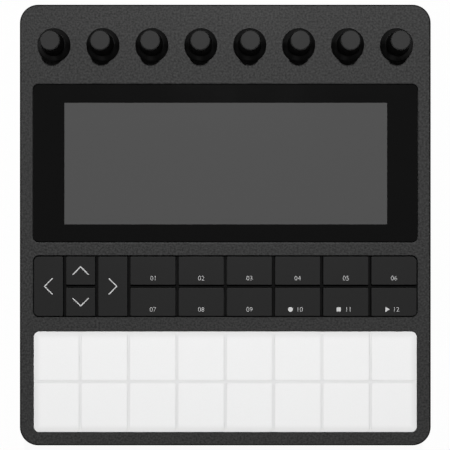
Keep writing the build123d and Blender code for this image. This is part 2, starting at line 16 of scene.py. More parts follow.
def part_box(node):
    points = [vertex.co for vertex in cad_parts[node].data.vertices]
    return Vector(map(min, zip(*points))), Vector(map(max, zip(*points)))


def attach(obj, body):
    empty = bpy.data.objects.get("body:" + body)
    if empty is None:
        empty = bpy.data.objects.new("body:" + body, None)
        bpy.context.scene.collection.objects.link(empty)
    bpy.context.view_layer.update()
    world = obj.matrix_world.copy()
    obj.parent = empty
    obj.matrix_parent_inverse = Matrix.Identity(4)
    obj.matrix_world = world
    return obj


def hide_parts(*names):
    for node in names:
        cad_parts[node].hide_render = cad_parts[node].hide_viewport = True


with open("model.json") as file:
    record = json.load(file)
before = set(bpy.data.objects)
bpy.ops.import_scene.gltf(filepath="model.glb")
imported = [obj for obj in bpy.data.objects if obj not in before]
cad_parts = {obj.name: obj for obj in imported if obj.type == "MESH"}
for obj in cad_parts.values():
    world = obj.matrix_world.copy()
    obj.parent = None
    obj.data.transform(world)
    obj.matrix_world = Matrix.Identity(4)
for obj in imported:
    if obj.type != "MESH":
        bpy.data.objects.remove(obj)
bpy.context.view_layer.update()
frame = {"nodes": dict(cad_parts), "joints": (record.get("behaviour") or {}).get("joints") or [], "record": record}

MM = 0.001
cad_nodes = frame["nodes"]
panel_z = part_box("top_case")[1].z
print(f"panel {panel_z / MM:.1f} mm above the table")

# %% [markdown]
# ## Camera
# The photograph looks straight down on the middle of the panel. A camera made in code needs three things: a
# place, a direction and a lens. A new camera already looks along -Z with +Y up in the picture, so it only has
# to be lifted. The lens follows from two sizes: how wide the picture is at the panel, and how far up the
# camera hangs. How much of the knobs' sides shows, compared with their tops, gives that height.

# %% Hang the camera over the panel
PICTURE_PIXELS = 450
PIXEL_MM = 0.5044
PICTURE_CENTRE_MM = (-0.15, 0.02)
CAMERA_HEIGHT = 0.56
SENSOR_MM = 36.0

camera_data = bpy.data.cameras.new("overhead_camera")
camera_data.sensor_width = SENSOR_MM
camera_data.lens = SENSOR_MM * CAMERA_HEIGHT / (PICTURE_PIXELS * PIXEL_MM * MM)
camera = bpy.data.objects.new("overhead_camera", camera_data)
camera.location = (PICTURE_CENTRE_MM[0] * MM, PICTURE_CENTRE_MM[1] * MM, panel_z + CAMERA_HEIGHT)
bpy.context.scene.collection.objects.link(camera)
bpy.context.scene.camera = camera
bpy.context.scene.view_settings.view_transform = "Standard"
print(f"camera lens {camera_data.lens:.1f} mm")

# %% [markdown]
# ## Studio
# A dark object on white needs a floor that stays white without flooding the object with light. The camera and
# any mirror see a floor that is mostly plain white and keeps a share of its real shading, so a soft shadow
# stays. Light that bounces meets an ordinary pale floor. The world is white along the horizon and dim
# overhead: the flat glass then mirrors the dim part and stays black, and little light gets into the shadows.


# %% Helpers for node trees
def add_node(tree, kind, **sockets):
    """A new node with some of its input sockets set by name."""
    node = tree.nodes.new(kind)
    for name, value in sockets.items():
        node.inputs[name.replace("_", " ")].default_value = value
    return node


def grey(value):
    """An opaque grey from one linear value."""
    return (value, value, value, 1.0)


def math_node(tree, operation, first, second=None):
    """A Math node fed by sockets or plain numbers. Returns its output socket."""
    node = tree.nodes.new("ShaderNodeMath")
    node.operation = operation
    for index, value in enumerate((first, second)):
        if value is None:
            continue
        if isinstance(value, (int, float)):
            node.inputs[index].default_value = value
        else:
            tree.links.new(value, node.inputs[index])
    return node.outputs[0]


def mix_colour(tree, factor, first, second):
    """A colour between two others, each a socket, a colour or a grey. Returns the output socket."""
    node = tree.nodes.new("ShaderNodeMix")
    node.data_type = "RGBA"
    tree.links.new(factor, node.inputs["Factor"])
    for name, value in (("A", first), ("B", second)):
        if isinstance(value, bpy.types.NodeSocket):
            tree.links.new(value, node.inputs[name])
        else:
            node.inputs[name].default_value = value if isinstance(value, tuple) else grey(value)
    return node.outputs["Result"]


def ramp(tree, value, start, end, first=0.0, last=1.0):
    """Runs from first to last while a value runs from start to end. Returns the output socket."""
    node = add_node(tree, "ShaderNodeMapRange", From_Min=start, From_Max=end, To_Min=first, To_Max=last)
    tree.links.new(value, node.inputs["Value"])
    return node.outputs[0]


print("node helpers ready")

# %% Lay the floor
FLOOR_SIZE = 12.0
FLOOR_DROP = 0.00005
FLOOR_GREY = 0.8
FLOOR_WHITE_SHARE = 0.95

floor_material = bpy.data.materials.new("studio_floor")
floor_material.use_nodes = True
tree = floor_material.node_tree
tree.nodes.clear()
path = tree.nodes.new("ShaderNodeLightPath")
seen = math_node(tree, "MAXIMUM", path.outputs["Is Camera Ray"], path.outputs["Is Glossy Ray"])
seen = math_node(tree, "MAXIMUM", seen, path.outputs["Is Transmission Ray"])
share = math_node(tree, "MULTIPLY", seen, FLOOR_WHITE_SHARE)
paper = add_node(tree, "ShaderNodeBsdfDiffuse", Color=grey(FLOOR_GREY))
white = add_node(tree, "ShaderNodeEmission", Color=grey(1.0), Strength=1.0)
mix = tree.nodes.new("ShaderNodeMixShader")
tree.links.new(share, mix.inputs["Fac"])
tree.links.new(paper.outputs[0], mix.inputs[1])
tree.links.new(white.outputs[0], mix.inputs[2])
tree.links.new(mix.outputs[0], tree.nodes.new("ShaderNodeOutputMaterial").inputs["Surface"])

floor_mesh = bpy.data.meshes.new("floor")
bm = bmesh.new()
bmesh.ops.create_grid(bm, x_segments=1, y_segments=1, size=FLOOR_SIZE / 2)
bmesh.ops.translate(bm, verts=bm.verts, vec=(0, 0, -FLOOR_DROP))
bm.to_mesh(floor_mesh)
bm.free()
floor_mesh.materials.append(floor_material)
floor = bpy.data.objects.new("floor", floor_mesh)
bpy.context.scene.collection.objects.link(floor)
print(f"floor {FLOOR_SIZE:.0f} m wide")

# %% Light the world from its horizon
HORIZON_GREY = 1.0
ZENITH_GREY = 0.03
HORIZON_END = 0.04
ZENITH_START = 0.16

world = bpy.data.worlds.new("studio_world")
world.use_nodes = True
tree = world.node_tree
tree.nodes.clear()
direction = tree.nodes.new("ShaderNodeTexCoord")
parts = tree.nodes.new("ShaderNodeSeparateXYZ")
tree.links.new(direction.outputs["Generated"], parts.inputs[0])
sky = ramp(tree, parts.outputs["Z"], HORIZON_END, ZENITH_START, HORIZON_GREY, ZENITH_GREY)
background = tree.nodes.new("ShaderNodeBackground")
tree.links.new(sky, background.inputs["Color"])
tree.links.new(background.outputs[0], tree.nodes.new("ShaderNodeOutputWorld").inputs["Surface"])
bpy.context.scene.world = world
print("world set")

# %% [markdown]
# ## Lamps
# The shadows in the photograph are short and crisp and fall towards the player, so the main lamp is small and
# hangs high behind the box, a little to the right. Its place follows from the shadows' tips, traced back over
# the knobs' tops. Two weak lamps stand low at the left and in front, so that flanks which the main lamp
# leaves dark still get some light.

# %% Hang the lamps
# Name, place in metres, power in watts and side in metres of each lamp
LAMPS = (
    ("main_lamp", (0.045, 0.62, 1.40), 23.5, 0.06),
    ("left_lamp", (-1.3, 0.3, 0.42), 2.4, 0.5),
    ("front_lamp", (-0.25, -1.2, 0.4), 1.0, 0.4),
)


def lamp(name, place, power, size):
    """A square area lamp that faces the middle of the panel."""
    data = bpy.data.lights.new(name, "AREA")
    data.energy = power
    data.size = size
    made = bpy.data.objects.new(name, data)
    made.location = place
    made.rotation_euler = (Vector((0, 0, panel_z)) - made.location).to_track_quat("-Z", "Y").to_euler()
    bpy.context.scene.collection.objects.link(made)
    return made


lamps = [lamp(*settings) for settings in LAMPS]
print(f"{len(lamps)} lamps")

# %% [markdown]
# ## Finishes
# Moulded plastic is never one flat colour: the tool leaves a fine grain in it, and handling changes its gloss
# in large soft patches. Both effects turn up in nearly every material of the box, so each is a node group,
# built once and placed with its own numbers. They read Object coordinates, so the grain keeps its real size
# on every part.

# %% Build the shared node groups
FLOAT = "NodeSocketFloat"
VECTOR = "NodeSocketVector"
FINE_GRAIN_RATIO = 2.7
FINE_GRAIN_SHARE = 0.4
SPECKLE_RANGE = (0.35, 0.65)
PATCH_RANGE = (0.3, 0.7)


def new_group(name, inputs, outputs):
    """An empty shader group with typed inputs and float outputs. Returns it with its two end nodes."""
    group = bpy.data.node_groups.new(name, "ShaderNodeTree")
    for socket, kind in inputs:
        group.interface.new_socket(name=socket, in_out="INPUT", socket_type=kind)
    for socket in outputs:
        group.interface.new_socket(name=socket, in_out="OUTPUT", socket_type=FLOAT)
    return group, group.nodes.new("NodeGroupInput"), group.nodes.new("NodeGroupOutput")


grain_group, entry, leave = new_group(
    "moulded_grain", (("Vector", VECTOR), ("Scale", FLOAT)), ("Height", "Speckle")
)
links = grain_group.links
coarse = add_node(grain_group, "ShaderNodeTexNoise", Detail=2.0, Roughness=0.6)
links.new(entry.outputs["Vector"], coarse.inputs["Vector"])
links.new(entry.outputs["Scale"], coarse.inputs["Scale"])
fine = add_node(grain_group, "ShaderNodeTexNoise", Detail=1.0, Roughness=0.5)
links.new(entry.outputs["Vector"], fine.inputs["Vector"])
fine_scale = math_node(grain_group, "MULTIPLY", entry.outputs["Scale"], FINE_GRAIN_RATIO)
links.new(fine_scale, fine.inputs["Scale"])
fine_height = math_node(grain_group, "MULTIPLY", fine.outputs["Fac"], FINE_GRAIN_SHARE)
links.new(math_node(grain_group, "ADD", coarse.outputs["Fac"], fine_height), leave.inputs["Height"])
links.new(ramp(grain_group, coarse.outputs["Fac"], *SPECKLE_RANGE), leave.inputs["Speckle"])

patch_group, entry, leave = new_group(
    "gloss_patches", (("Vector", VECTOR), ("Scale", FLOAT), ("Low", FLOAT), ("High", FLOAT)), ("Roughness",)
)
links = patch_group.links
clouds = add_node(patch_group, "ShaderNodeTexNoise", Detail=3.0, Roughness=0.55)
links.new(entry.outputs["Vector"], clouds.inputs["Vector"])
links.new(entry.outputs["Scale"], clouds.inputs["Scale"])
spread = add_node(patch_group, "ShaderNodeMapRange", From_Min=PATCH_RANGE[0], From_Max=PATCH_RANGE[1])
links.new(clouds.outputs["Fac"], spread.inputs["Value"])
links.new(entry.outputs["Low"], spread.inputs["To Min"])
links.new(entry.outputs["High"], spread.inputs["To Max"])
links.new(spread.outputs[0], leave.inputs["Roughness"])
print("node groups:", ", ".join(group.name for group in bpy.data.node_groups))

# %% A recipe for grained finishes
PATCH_SCALE = 18.0


def add_patches(tree, place, scale, rough, shader):
    """Lets the roughness of a shader waver between two values in soft patches."""
    patches = tree.nodes.new("ShaderNodeGroup")
    patches.node_tree = patch_group
    patches.inputs["Scale"].default_value = scale
    patches.inputs["Low"].default_value = rough[0]
    patches.inputs["High"].default_value = rough[1]
    tree.links.new(place, patches.inputs["Vector"])
    tree.links.new(patches.outputs["Roughness"], shader.inputs["Roughness"])


def grained(name, tones, rough, grain, specular=0.5, metallic=0.0):
    """A material that wavers between two greys or colours, with a fine relief and uneven gloss.

    The grain is its count per metre and its depth in metres.
    """
    material = bpy.data.materials.new(name)
    material.use_nodes = True
    tree = material.node_tree
    shader = tree.nodes["Principled BSDF"]
    shader.inputs["Specular IOR Level"].default_value = specular
    shader.inputs["Metallic"].default_value = metallic
    place = tree.nodes.new("ShaderNodeTexCoord").outputs["Object"]
    relief = tree.nodes.new("ShaderNodeGroup")
    relief.node_tree = grain_group
    relief.inputs["Scale"].default_value = grain[0]
    tree.links.new(place, relief.inputs["Vector"])
    tree.links.new(mix_colour(tree, relief.outputs["Speckle"], *tones), shader.inputs["Base Color"])
    add_patches(tree, place, PATCH_SCALE, rough, shader)
    bump = add_node(tree, "ShaderNodeBump", Strength=1.0, Distance=grain[1])
    tree.links.new(relief.outputs["Height"], bump.inputs["Height"])
    tree.links.new(bump.outputs["Normal"], shader.inputs["Normal"])
    return material


print("grained recipe ready")

# %% [markdown]
# ## The finishes of the box
# The case, keys and knobs are three dark plastics of about the same dull gloss. They differ in how dark they
# are and how much grain they carry: the case is the lightest and has the deepest grain, and the knobs are
# nearly black apart from the paler discs on top. A table holds what sets each finish apart, and the recipe
# turns every row of it into a material.

# %% Mix the plastics, rubbers and metals
RECIPES = {
    "case_plastic": dict(tones=(0.022, 0.05), rough=(0.42, 0.48), grain=(1000, 0.00003), specular=0.05),
    "key_plastic": dict(tones=(0.0158, 0.0178), rough=(0.44, 0.5), grain=(2500, 0.000004), specular=0.08),
    "knob_plastic": dict(tones=(0.0015, 0.0022), rough=(0.4, 0.46), grain=(4000, 0.000006), specular=0.12),
    "knob_cap": dict(tones=(0.021, 0.026), rough=(0.46, 0.54), grain=(2500, 0.000006), specular=0.08),
    "key_frame_plastic": dict(tones=(0.003, 0.004), rough=(0.6, 0.7), grain=(5000, 0.00001), specular=0.05),
    "pad_silicone": dict(tones=(0.862, 0.882), rough=(0.6, 0.7), grain=(2000, 0.000004), specular=0.1),
    "print_ink": dict(tones=(0.52, 0.6), rough=(0.5, 0.6), grain=(4000, 0.000002), specular=0.3),
    "foot_rubber": dict(tones=(0.012, 0.017), rough=(0.8, 0.9), grain=(3000, 0.00003)),
    "dark_steel": dict(tones=(0.05, 0.07), rough=(0.3, 0.45), grain=(4000, 0.000004), metallic=1.0),
    "display": dict(tones=(0.07, 0.075), rough=(0.3, 0.4), grain=(2000, 0.000002)),
    "ribbon": dict(
        tones=((0.42, 0.22, 0.05, 1), (0.5, 0.28, 0.07, 1)), rough=(0.3, 0.45), grain=(2000, 0.000004)
    ),
    "board": dict(
        tones=((0.008, 0.05, 0.02, 1), (0.012, 0.07, 0.03, 1)), rough=(0.35, 0.5), grain=(1500, 0.00001)
    ),
    "battery_wrap": dict(
        tones=((0.03, 0.05, 0.13, 1), (0.04, 0.065, 0.16, 1)), rough=(0.3, 0.45), grain=(900, 0.00001)
    ),
    "encoder_metal": dict(tones=(0.45, 0.52), rough=(0.3, 0.45), grain=(3000, 0.000004), metallic=1.0),
    "switch_plastic": dict(tones=(0.01, 0.014), rough=(0.45, 0.6), grain=(3000, 0.00001)),
    "sensor_film": dict(
        tones=((0.3, 0.24, 0.1, 1), (0.34, 0.28, 0.13, 1)), rough=(0.3, 0.5), grain=(1200, 0.000005)
    ),
    "rear_plate": dict(tones=(0.012, 0.018), rough=(0.5, 0.62), grain=(2200, 0.00004)),
    "jack_plastic": dict(tones=(0.006, 0.009), rough=(0.35, 0.5), grain=(4000, 0.000006)),
    "socket_metal": dict(tones=(0.52, 0.6), rough=(0.22, 0.35), grain=(3000, 0.000003), metallic=1.0),
}

finishes = {name: grained(name, **recipe) for name, recipe in RECIPES.items()}
print(f"{len(finishes)} finishes")

# %% [markdown]
# ## Case
# The case is one grey, grained moulding. Its rounded rim is made duller than the rest and carries painted shade:
# a darker grey stands in for the shade on the edge, which faces sideways, and frames the panel with a thin dark
# line. A mask on the height of a point finds the rim: it starts just under the panel, the highest flat face of
# the case, and fades into the walls below. The small chamfers round the screen, keys and pads lie as low as the
# rim does, so a second mask leaves out all that lies well inside the outline.

# %% Paint shade on the rim
# The rim's grey is painted shade, not a colour of the moulding
RIM_SHADE_GREY = 0.004
RIM_ROUGHNESS = 0.95
RIM_START_MM = (0.005, 0.015)
RIM_END_MM = (0.75, 1.6)
RIM_REACH_MM = 3.0


def between(tree, value, low, high):
    """1 where a value lies between two numbers, else 0. Returns the output socket."""
    offset = math_node(tree, "ABSOLUTE", math_node(tree, "SUBTRACT", value, (low + high) / 2))
    return math_node(tree, "LESS_THAN", offset, (high - low) / 2)


tree = finishes["case_plastic"].node_tree
shader = tree.nodes["Principled BSDF"]
panel_colour = shader.inputs["Base Color"].links[0].from_socket
axes = tree.nodes.new("ShaderNodeSeparateXYZ")
tree.links.new(tree.nodes.new("ShaderNodeTexCoord").outputs["Object"], axes.inputs[0])
depth = math_node(tree, "SUBTRACT", panel_z, axes.outputs["Z"])
above_rim = ramp(tree, depth, *(edge * MM for edge in RIM_START_MM), first=1.0, last=0.0)
below_rim = ramp(tree, depth, *(edge * MM for edge in RIM_END_MM))
case_low, case_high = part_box("top_case")
reach = RIM_REACH_MM * MM
inside_rim = [
    between(tree, axes.outputs[axis], low + reach, high - reach)
    for axis, low, high in zip("XY", case_low, case_high)
]
plain = math_node(tree, "MAXIMUM", above_rim, below_rim)
plain = math_node(tree, "MAXIMUM", plain, math_node(tree, "MULTIPLY", *inside_rim))
# Painted shade: where the mask is 0, the rim gets the darker grey in place of the panel's colour
tree.links.new(mix_colour(tree, plain, RIM_SHADE_GREY, panel_colour), shader.inputs["Base Color"])
panel_gloss = shader.inputs["Roughness"].links[0].from_socket
dullness = tree.nodes.new("ShaderNodeMix")
dullness.inputs["A"].default_value = RIM_ROUGHNESS
tree.links.new(plain, dullness.inputs["Factor"])
tree.links.new(panel_gloss, dullness.inputs["B"])
tree.links.new(dullness.outputs["Result"], shader.inputs["Roughness"])
print("rim darkened")

# %% [markdown]
# ## Pads
# White silicone is cloudy: light goes in, wanders a few millimetres and comes out again. Beside the dark case
# some of it is lost, so the outer pads grow a little darker along their outer edges, and the rounded edges
# between two pads and the bars below them lie in soft grey bands of shade. Both are painted shade in the colour:
# a mask of the distance to the edge of the whole block gives the first, a mask of the height the second. The
# wandering light also evens out bright and dark flanks, which a normal that leans towards straight up imitates.
# Scattering in the shader would be lost in an export.

# %% Paint shade on the pads beside the case and in their seams
# Greys of the painted shade along the case and in the seams between the pads
EDGE_SHADE_GREY = 0.77
EDGE_FADE_MM = 4.2
PAD_LIP_MM = 0.4
SEAM_SHADE_GREY = 0.80
SEAM_DEPTH_MM = 0.3
SEAM_START_MM = 0.02
LEAN_SHARE = 0.8

tree = finishes["pad_silicone"].node_tree
shader = tree.nodes["Principled BSDF"]
silicone_colour = shader.inputs["Base Color"].links[0].from_socket
axes = tree.nodes.new("ShaderNodeSeparateXYZ")
tree.links.new(tree.nodes.new("ShaderNodeTexCoord").outputs["Object"], axes.inputs[0])
# The front left pad and the rear right one hold the corners of the whole block
pads_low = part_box("pad_09")[0]
pads_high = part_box("pad_08")[1]
inset = []
for axis, low, high in zip("XY", pads_low, pads_high):
    offset = math_node(tree, "ABSOLUTE", math_node(tree, "SUBTRACT", axes.outputs[axis], (low + high) / 2))
    inset.append(math_node(tree, "SUBTRACT", (high - low) / 2 - PAD_LIP_MM * MM, offset))
fade = add_node(tree, "ShaderNodeMapRange", From_Max=EDGE_FADE_MM * MM)
fade.interpolation_type = "SMOOTHSTEP"
tree.links.new(math_node(tree, "MINIMUM", *inset), fade.inputs["Value"])
# Painted shade along the outer edge of the whole block of pads
edge_shaded = mix_colour(tree, fade.outputs[0], EDGE_SHADE_GREY, silicone_colour)
seam_floor = pads_high.z - SEAM_DEPTH_MM * MM
on_top = ramp(tree, axes.outputs["Z"], seam_floor, pads_high.z - SEAM_START_MM * MM)
# Painted shade: the seams between the pads and the bars below them get a grey
tree.links.new(mix_colour(tree, on_top, SEAM_SHADE_GREY, edge_shaded), shader.inputs["Base Color"])
lean = tree.nodes.new("ShaderNodeMix")
lean.data_type = "VECTOR"
lean.inputs["Factor"].default_value = LEAN_SHARE
tree.links.new(tree.nodes.new("ShaderNodeNewGeometry").outputs["Normal"], lean.inputs["A"])
lean.inputs["B"].default_value = (0, 0, 1)
tree.links.new(lean.outputs["Result"], tree.nodes["Bump"].inputs["Normal"])
print(f"pads fade over {EDGE_FADE_MM} mm, seams over {SEAM_DEPTH_MM} mm of height")

# %% [markdown]
# ## Screen
# The screen is one sheet of glass. Behind its clear middle lies the display, which is plain grey when nothing
# is drawn on it, and a black border is printed round it. Both are behind the same smooth surface, so one
# material is enough: its colour changes where the display begins, and its gloss stays the same.

# %% Mix the screen's glass
VIEW_SIZE_MM = (162.8, 61.3)
VIEW_SHIFT_MM = (0.23, -0.25)
VIEW_GREY = 0.08
BORDER_GREY = 0.005
GLASS_ROUGHNESS = (0.05, 0.09)
GLASS_PATCH_SCALE = 25.0

glass_low, glass_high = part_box("screen_glass")
view_centre = (glass_low + glass_high) / 2 + Vector((*VIEW_SHIFT_MM, 0)) * MM
screen = bpy.data.materials.new("screen_glass")
screen.use_nodes = True
tree = screen.node_tree
shader = tree.nodes["Principled BSDF"]
place = tree.nodes.new("ShaderNodeTexCoord").outputs["Object"]
axes = tree.nodes.new("ShaderNodeSeparateXYZ")
tree.links.new(place, axes.inputs[0])
inside = [
    between(tree, axes.outputs[axis], centre - size / 2 * MM, centre + size / 2 * MM)
    for axis, centre, size in zip("XY", view_centre, VIEW_SIZE_MM)
]
view_mask = math_node(tree, "MULTIPLY", *inside)
tree.links.new(mix_colour(tree, view_mask, BORDER_GREY, VIEW_GREY), shader.inputs["Base Color"])
add_patches(tree, place, GLASS_PATCH_SCALE, GLASS_ROUGHNESS, shader)
finishes["screen_glass"] = screen
print(f"view centred at {view_centre.x / MM:.1f}, {view_centre.y / MM:.1f} mm")

# %% Put a finish on every part
slot_of = {part["node"]: part["material_slot"] for part in frame["record"]["subparts"]}
for name, part in cad_nodes.items():
    for holder in part.material_slots:
        holder.material = finishes[slot_of[name]]
print(f"finished {len(cad_nodes)} parts")

# %% [markdown]
# ## Knobs
# Each knob is a cap on an encoder's shaft: a flat disc on top, a ribbed grip, and a skirt that flares out
# just above the panel. A shape like that is drawn as half a section and spun round its axis. The ribs are
# pressed in afterwards: every point of the section carries the depth of the groove at its height, and a wave
# round the axis decides how much of that depth a point gets.

# %% Helpers for modelled pieces
MERGE_MM = 0.001


def piece_from(bm, name, body, materials, sharp_deg=None):
    """An object from a bmesh, riding on a body. Its edges are smooth up to a sharp angle, if one is given."""
    mesh = bpy.data.meshes.new(name)
    bm.to_mesh(mesh)
    bm.free()
    for material in materials:
        mesh.materials.append(material)
    if sharp_deg is not None:
        mesh.shade_smooth()
        mesh.set_sharp_from_angle(angle=math.radians(sharp_deg))
    made = bpy.data.objects.new(name, mesh)
    bpy.context.scene.collection.objects.link(made)
    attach(made, body)
    return made


def spin_section(bm, points, steps):
    """Spins a line of (radius, height) points round the Z axis and closes the result."""
    line = [bm.verts.new((radius, 0.0, height)) for radius, height in points]
    edges = [bm.edges.new(pair) for pair in zip(line, line[1:])]
    bmesh.ops.spin(
        bm,
        geom=line + edges,
        cent=(0, 0, 0),
        axis=(0, 0, 1),
        dvec=(0, 0, 0),
        angle=math.tau,
        steps=steps,
        use_merge=True,
    )
    bmesh.ops.remove_doubles(bm, verts=bm.verts, dist=MERGE_MM * MM)
    bmesh.ops.recalc_face_normals(bm, faces=bm.faces)


print("piece helpers ready")

# %% Spin and rib the knobs
RIBS = 36
STEPS_PER_RIB = 6
RIB_STEEPNESS = 1.6
RIB_CREST = 0.3
CAVITY_RADIUS_MM = 4.4
CAVITY_ROOF_MM = 2.5
SHAFT_RADIUS_MM = 3.0
KNOB_SHARP_DEG = 28
# Faces over this height belong to the paler disc
CAP_LOW_MM = 14.19
# Radius, height over the panel and depth of the groove, from the top disc's edge down to the skirt's foot
KNOB_SECTION_MM = (
    (4.15, 14.5, 0.0), (4.4, 14.5, 0.0), (4.47, 14.42, 0.0), (4.49, 14.22, 0.0), (4.54, 14.21, 0.0),
    (4.87, 14.2, 0.32), (5.16, 14.04, 0.42), (5.36, 13.6, 0.46), (5.46, 12.0, 0.46), (5.55, 9.0, 0.46),
    (5.68, 6.5, 0.44), (5.85, 5.0, 0.4), (5.98, 4.2, 0.36), (6.04, 3.75, 0.34), (6.12, 3.68, 0.0),
    (6.32, 3.52, 0.0), (6.75, 3.1, 0.0), (7.2, 2.6, 0.0), (7.65, 2.15, 0.0), (7.98, 1.88, 0.0),
    (8.18, 1.68, 0.0), (8.3, 1.42, 0.0), (8.3, 1.0, 0.0), (8.18, 0.8, 0.0),
)


def rib_wave(angle):
    """0 on the crest of a rib, 1 in the floor of a groove, with steep flanks between them."""
    wave = 0.5 - 0.5 * math.cos(RIBS * angle)
    return min(1.0, max(0.0, RIB_STEEPNESS * wave - RIB_CREST))


def make_knob(name, axis_place):
    """One knob with its shaft, standing on its axis in the panel."""
    shaft_low = (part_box(name)[0].z - panel_z) / MM
    inner = (
        (CAVITY_RADIUS_MM, KNOB_SECTION_MM[-1][1]),
        (CAVITY_RADIUS_MM, CAVITY_ROOF_MM),
        (SHAFT_RADIUS_MM, CAVITY_ROOF_MM),
        (SHAFT_RADIUS_MM, shaft_low),
        (0.0, shaft_low),
    )
    points = [(0.0, KNOB_SECTION_MM[0][1]), *(point[:2] for point in KNOB_SECTION_MM), *inner]
    depth_at = {height: depth for _, height, depth in KNOB_SECTION_MM}
    bm = bmesh.new()
    spin_section(bm, [(radius * MM, height * MM) for radius, height in points], RIBS * STEPS_PER_RIB)
    for vertex in bm.verts:
        depth = depth_at.get(round(vertex.co.z / MM, 2), 0.0) * MM
        across = math.hypot(vertex.co.x, vertex.co.y)
        if depth and across > CAVITY_RADIUS_MM * MM:
            pressed = 1 - depth * rib_wave(math.atan2(vertex.co.y, vertex.co.x)) / across
            vertex.co.x *= pressed
            vertex.co.y *= pressed
    for face in bm.faces:
        face.material_index = int(face.calc_center_median().z > CAP_LOW_MM * MM)
    bmesh.ops.translate(bm, verts=bm.verts, vec=(axis_place[0], axis_place[1], panel_z))
    coats = (finishes["knob_plastic"], finishes["knob_cap"])
    knob = piece_from(bm, f"{name}_turned", name, coats, KNOB_SHARP_DEG)
    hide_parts(name)
    return knob


knob_joints = [joint for joint in frame["joints"] if joint["child"].startswith("knob_")]
knobs = [make_knob(joint["child"], joint["pos_m"]) for joint in knob_joints]
print(f"{len(knobs)} knobs of {len(knobs[0].data.polygons)} faces")

# %% [markdown]
# ## Soft pads
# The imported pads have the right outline, lip and plunger, but their edges are plain quarter circles, and the
# bars of the frame between them lie low. Moulded silicone is softer: its edge falls away slowly and ends near
# the bars, so light reaches every part of a seam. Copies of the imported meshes, each merged into one skin,
# keep all that fits and moves. Only the highest points change: each edge is pulled from a circle into a
# shallow parabola, and the bars rise to its foot.

# %% Soften the pads and raise the bars
# The first is the radius of a packed pad's edge. The drops are measured down from the top of the pads
PAD_EDGE_MM = 0.8
PAD_EDGE_DROP_MM = 0.3
BAR_DROP_MM = 0.32
HEIGHT_SLACK_MM = 0.005
SOFT_SHARP_DEG = 30

pad_top = pads_high.z
bar_top = max(vertex.co.z for vertex in cad_nodes["pad_frame"].data.vertices)


def soft_edge(height):
    """Where a point of a packed pad's rounded edge goes. Points under the edge stay."""
    if height < pad_top - (PAD_EDGE_MM + HEIGHT_SLACK_MM) * MM:
        return height
    rise = 1 - (pad_top - height) / (PAD_EDGE_MM * MM)
    return pad_top - PAD_EDGE_DROP_MM * MM * (1 - rise**2)


def raised_bar(height):
    """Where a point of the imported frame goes. The tops of its bars rise, and all other points stay."""
    if height < bar_top - HEIGHT_SLACK_MM * MM:
        return height
    return pad_top - BAR_DROP_MM * MM


def reshaped(name, body, new_height):
    """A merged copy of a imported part, with its highest points moved, that stands in for it."""
    bm = bmesh.new()
    bm.from_mesh(cad_nodes[name].data)
    bmesh.ops.remove_doubles(bm, verts=bm.verts, dist=MERGE_MM * MM)
    for vertex in bm.verts:
        vertex.co.z = new_height(vertex.co.z)
    piece = piece_from(bm, f"{name}_soft", body, (finishes["pad_silicone"],), SOFT_SHARP_DEG)
    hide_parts(name)
    return piece


pad_names = [joint["child"] for joint in frame["joints"] if joint["child"].startswith("pad_")]
pads = [reshaped(name, name, soft_edge) for name in pad_names]
bars = reshaped("pad_frame", "case", raised_bar)
print(f"{len(pads)} pads of {len(pads[0].data.polygons)} faces, bars of {len(bars.data.polygons)}")

# %% [markdown]
# ## Printed signs
# The keys carry thin pale print: arrows on the four keys at the left, and plain numbers on the others, with
# the usual signs for record, stop and play on the last three. Print has almost no thickness, but it is still
# modelled, as flat shapes a few hundredths of a millimetre high that sit on the key and move with it.

# %% Helpers for print
PRINT_HEIGHT = 0.00003
TEXT_RESOLUTION = 5
TEXT_THINNING = -0.012
CHEVRON_ROUNDING = 0.45
CHEVRON_SEGMENTS = 4


def raise_print(bm):
    """Gives a sign's flat faces their thickness, half of it sunk into what they are printed on."""
    grown = bmesh.ops.extrude_face_region(bm, geom=bm.faces[:])
    top = [part for part in grown["geom"] if isinstance(part, bmesh.types.BMVert)]
    bmesh.ops.translate(bm, verts=top, vec=(0, 0, PRINT_HEIGHT))
    bmesh.ops.translate(bm, verts=bm.verts, vec=(0, 0, -PRINT_HEIGHT / 2))
    bmesh.ops.recalc_face_normals(bm, faces=bm.faces)


def add_text(bm, words, height, centre):
    """Adds plain text to a bmesh as flat faces, with its middle at a point of the XY plane."""
    curve = bpy.data.curves.new("sign_text", "FONT")
    curve.body = words
    curve.resolution_u = TEXT_RESOLUTION
    curve.offset = TEXT_THINNING
    holder = bpy.data.objects.new("sign_text", curve)
    bpy.context.scene.collection.objects.link(holder)
    bpy.context.view_layer.update()
    mesh = bpy.data.meshes.new_from_object(holder.evaluated_get(bpy.context.evaluated_depsgraph_get()))
    bpy.data.objects.remove(holder)
    bpy.data.curves.remove(curve)
    xs = [vertex.co.x for vertex in mesh.vertices]
    ys = [vertex.co.y for vertex in mesh.vertices]
    scale = height / (max(ys) - min(ys))
    middle = Vector(((max(xs) + min(xs)) / 2, (max(ys) + min(ys)) / 2, 0))
    mesh.transform(Matrix.Translation((*centre, 0)) @ Matrix.Scale(scale, 4) @ Matrix.Translation(-middle))
    bm.from_mesh(mesh)
    bpy.data.meshes.remove(mesh)


